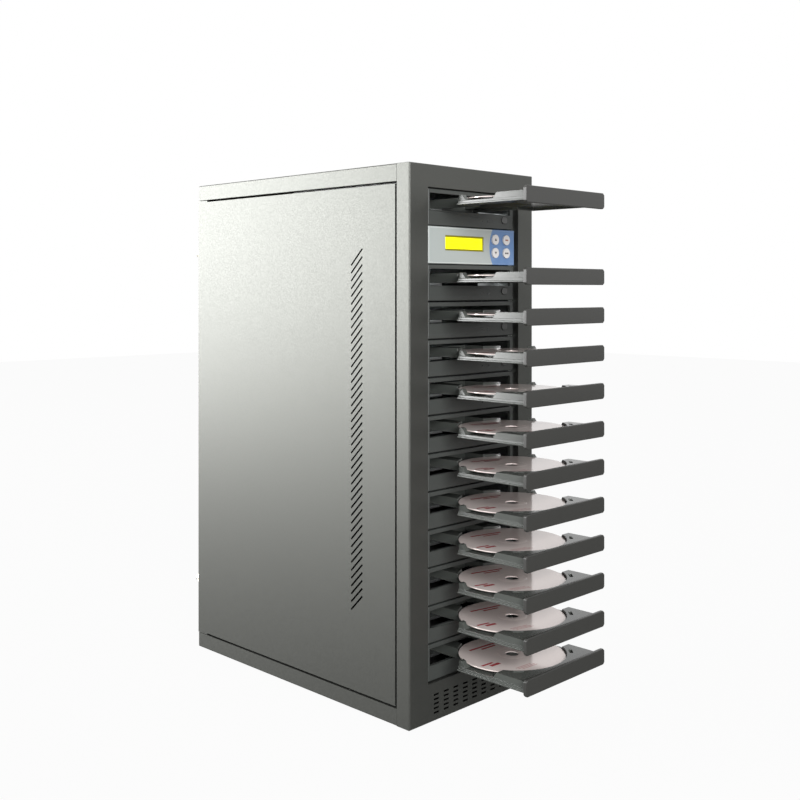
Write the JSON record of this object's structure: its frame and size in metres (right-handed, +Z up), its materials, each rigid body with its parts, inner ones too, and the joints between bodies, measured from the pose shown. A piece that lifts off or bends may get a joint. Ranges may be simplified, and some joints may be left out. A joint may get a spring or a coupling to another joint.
{
  "type": "disc duplicator tower",
  "caption": "Tall steel tower case with a column of disc drives, their loaded trays drawn out, a control panel with a display and round keys, vented side panels, fans and a mains inlet.",
  "frame": {"origin": "on the floor under the middle of the whole tower as it stands with its trays out", "axes": "+Z up, +X to the right seen from the front, +Y to the rear; the trays come out towards -Y"},
  "size_m": [0.217, 0.5376, 0.627],
  "materials": {
    "case_paint": "fine satin paint, dark grey with a slight metallic sheen",
    "foot_rubber": "moulded black rubber",
    "zinc_steel": "zinc-plated sheet steel",
    "bezel_plastic": "moulded ABS, finely textured, dark grey",
    "fascia_plastic": "moulded ABS, silver grey",
    "display_window": "clear window over a yellow lit display",
    "circuit_board": "green circuit board",
    "lead_sheath": "flexible PVC",
    "supply_steel": "zinc-plated sheet steel",
    "socket_plastic": "moulded black nylon",
    "fan_plastic": "moulded black plastic",
    "key_plastic": "moulded pale grey plastic",
    "tray_plastic": "moulded ABS: pale grey carrier, dark grey front",
    "disc_face": "lacquered printed polycarbonate disc"
  },
  "bodies": {
    "case": {"front_panel": "case_paint", "top_cover": "case_paint", "chassis": "case_paint", "rubber_feet": "foot_rubber", "drive_cage": "zinc_steel", "drive_housings": "zinc_steel", "drive_bezels": "bezel_plastic", "control_panel": "fascia_plastic", "lcd_window": "display_window", "controller_board": "circuit_board", "cable_harness": "lead_sheath", "power_supply": "supply_steel", "power_inlet": "socket_plastic", "fan_frames": "fan_plastic"},
    "side_panel_left": {"side_panel_left": "case_paint"},
    "side_panel_right": {"side_panel_right": "case_paint"},
    "tray_01": {"tray_01": "tray_plastic", "disc_01": "disc_face"},
    "eject_button_01": {"eject_button_01": "bezel_plastic"},
    "tray_02": {"tray_02": "tray_plastic", "disc_02": "disc_face"},
    "eject_button_02": {"eject_button_02": "bezel_plastic"},
    "tray_03": {"tray_03": "tray_plastic", "disc_03": "disc_face"},
    "eject_button_03": {"eject_button_03": "bezel_plastic"},
    "tray_04": {"tray_04": "tray_plastic", "disc_04": "disc_face"},
    "eject_button_04": {"eject_button_04": "bezel_plastic"},
    "tray_05": {"tray_05": "tray_plastic", "disc_05": "disc_face"},
    "eject_button_05": {"eject_button_05": "bezel_plastic"},
    "tray_06": {"tray_06": "tray_plastic", "disc_06": "disc_face"},
    "eject_button_06": {"eject_button_06": "bezel_plastic"},
    "tray_07": {"tray_07": "tray_plastic", "disc_07": "disc_face"},
    "eject_button_07": {"eject_button_07": "bezel_plastic"},
    "tray_08": {"tray_08": "tray_plastic", "disc_08": "disc_face"},
    "eject_button_08": {"eject_button_08": "bezel_plastic"},
    "tray_09": {"tray_09": "tray_plastic", "disc_09": "disc_face"},
    "eject_button_09": {"eject_button_09": "bezel_plastic"},
    "tray_10": {"tray_10": "tray_plastic", "disc_10": "disc_face"},
    "eject_button_10": {"eject_button_10": "bezel_plastic"},
    "tray_11": {"tray_11": "tray_plastic", "disc_11": "disc_face"},
    "eject_button_11": {"eject_button_11": "bezel_plastic"},
    "tray_12": {"tray_12": "tray_plastic", "disc_12": "disc_face"},
    "eject_button_12": {"eject_button_12": "bezel_plastic"},
    "key_upper_left": {"key_upper_left": "key_plastic"},
    "key_upper_right": {"key_upper_right": "key_plastic"},
    "key_lower_left": {"key_lower_left": "key_plastic"},
    "key_lower_right": {"key_lower_right": "key_plastic"},
    "power_rocker": {"power_rocker": "socket_plastic"},
    "case_fan_rotor": {"case_fan_rotor": "fan_plastic"},
    "supply_fan_rotor": {"supply_fan_rotor": "fan_plastic"}
  },
  "joints": [
    {"name": "tray_01_slide", "type": "slide", "parent": "case", "child": "tray_01", "axis": [0, 1, 0], "range_m": [0, 0.135]},
    {"name": "tray_02_slide", "type": "slide", "parent": "case", "child": "tray_02", "axis": [0, 1, 0], "range_m": [0, 0.135]},
    {"name": "tray_03_slide", "type": "slide", "parent": "case", "child": "tray_03", "axis": [0, 1, 0], "range_m": [0, 0.135]},
    {"name": "tray_04_slide", "type": "slide", "parent": "case", "child": "tray_04", "axis": [0, 1, 0], "range_m": [0, 0.135]},
    {"name": "tray_05_slide", "type": "slide", "parent": "case", "child": "tray_05", "axis": [0, 1, 0], "range_m": [0, 0.135]},
    {"name": "tray_06_slide", "type": "slide", "parent": "case", "child": "tray_06", "axis": [0, 1, 0], "range_m": [0, 0.135]},
    {"name": "tray_07_slide", "type": "slide", "parent": "case", "child": "tray_07", "axis": [0, 1, 0], "range_m": [0, 0.135]},
    {"name": "tray_08_slide", "type": "slide", "parent": "case", "child": "tray_08", "axis": [0, 1, 0], "range_m": [0, 0.135]},
    {"name": "tray_09_slide", "type": "slide", "parent": "case", "child": "tray_09", "axis": [0, 1, 0], "range_m": [0, 0.135]},
    {"name": "tray_10_slide", "type": "slide", "parent": "case", "child": "tray_10", "axis": [0, 1, 0], "range_m": [0, 0.135]},
    {"name": "tray_11_slide", "type": "slide", "parent": "case", "child": "tray_11", "axis": [0, 1, 0], "range_m": [0, 0.135]},
    {"name": "tray_12_slide", "type": "slide", "parent": "case", "child": "tray_12", "axis": [0, 1, 0], "range_m": [0, 0.135]},
    {"name": "side_panel_left_slide", "type": "slide", "parent": "case", "child": "side_panel_left", "axis": [0, 1, 0], "range_m": [0, 0.015]},
    {"name": "side_panel_right_slide", "type": "slide", "parent": "case", "child": "side_panel_right", "axis": [0, 1, 0], "range_m": [0, 0.015]},
    {"name": "power_rocker_tilt", "type": "hinge", "parent": "case", "child": "power_rocker", "pos_m": [0.052, 0.25715, 0.0312], "axis": [-1, 0, 0], "range_deg": [0, 20]},
    {"name": "case_fan_spin", "type": "hinge", "parent": "case", "child": "case_fan_rotor", "pos_m": [0, 0.24585, 0.406], "axis": [0, 1, 0], "continuous": true},
    {"name": "supply_fan_spin", "type": "hinge", "parent": "case", "child": "supply_fan_rotor", "pos_m": [-0.03, 0.24485, 0.0502], "axis": [0, 1, 0], "continuous": true},
    {"name": "key_upper_left_press", "type": "slide", "parent": "case", "child": "key_upper_left", "axis": [0, 1, 0], "range_m": [0, 0.0012], "stiffness_N_per_m": 400},
    {"name": "key_upper_right_press", "type": "slide", "parent": "case", "child": "key_upper_right", "axis": [0, 1, 0], "range_m": [0, 0.0012], "stiffness_N_per_m": 400},
    {"name": "key_lower_left_press", "type": "slide", "parent": "case", "child": "key_lower_left", "axis": [0, 1, 0], "range_m": [0, 0.0012], "stiffness_N_per_m": 400},
    {"name": "key_lower_right_press", "type": "slide", "parent": "case", "child": "key_lower_right", "axis": [0, 1, 0], "range_m": [0, 0.0012], "stiffness_N_per_m": 400},
    {"name": "eject_button_01_press", "type": "slide", "parent": "case", "child": "eject_button_01", "axis": [0, 1, 0], "range_m": [0, 0.0008], "stiffness_N_per_m": 400},
    {"name": "eject_button_02_press", "type": "slide", "parent": "case", "child": "eject_button_02", "axis": [0, 1, 0], "range_m": [0, 0.0008], "stiffness_N_per_m": 400},
    {"name": "eject_button_03_press", "type": "slide", "parent": "case", "child": "eject_button_03", "axis": [0, 1, 0], "range_m": [0, 0.0008], "stiffness_N_per_m": 400},
    {"name": "eject_button_04_press", "type": "slide", "parent": "case", "child": "eject_button_04", "axis": [0, 1, 0], "range_m": [0, 0.0008], "stiffness_N_per_m": 400},
    {"name": "eject_button_05_press", "type": "slide", "parent": "case", "child": "eject_button_05", "axis": [0, 1, 0], "range_m": [0, 0.0008], "stiffness_N_per_m": 400},
    {"name": "eject_button_06_press", "type": "slide", "parent": "case", "child": "eject_button_06", "axis": [0, 1, 0], "range_m": [0, 0.0008], "stiffness_N_per_m": 400},
    {"name": "eject_button_07_press", "type": "slide", "parent": "case", "child": "eject_button_07", "axis": [0, 1, 0], "range_m": [0, 0.0008], "stiffness_N_per_m": 400},
    {"name": "eject_button_08_press", "type": "slide", "parent": "case", "child": "eject_button_08", "axis": [0, 1, 0], "range_m": [0, 0.0008], "stiffness_N_per_m": 400},
    {"name": "eject_button_09_press", "type": "slide", "parent": "case", "child": "eject_button_09", "axis": [0, 1, 0], "range_m": [0, 0.0008], "stiffness_N_per_m": 400},
    {"name": "eject_button_10_press", "type": "slide", "parent": "case", "child": "eject_button_10", "axis": [0, 1, 0], "range_m": [0, 0.0008], "stiffness_N_per_m": 400},
    {"name": "eject_button_11_press", "type": "slide", "parent": "case", "child": "eject_button_11", "axis": [0, 1, 0], "range_m": [0, 0.0008], "stiffness_N_per_m": 400},
    {"name": "eject_button_12_press", "type": "slide", "parent": "case", "child": "eject_button_12", "axis": [0, 1, 0], "range_m": [0, 0.0008], "stiffness_N_per_m": 400}
  ]
}
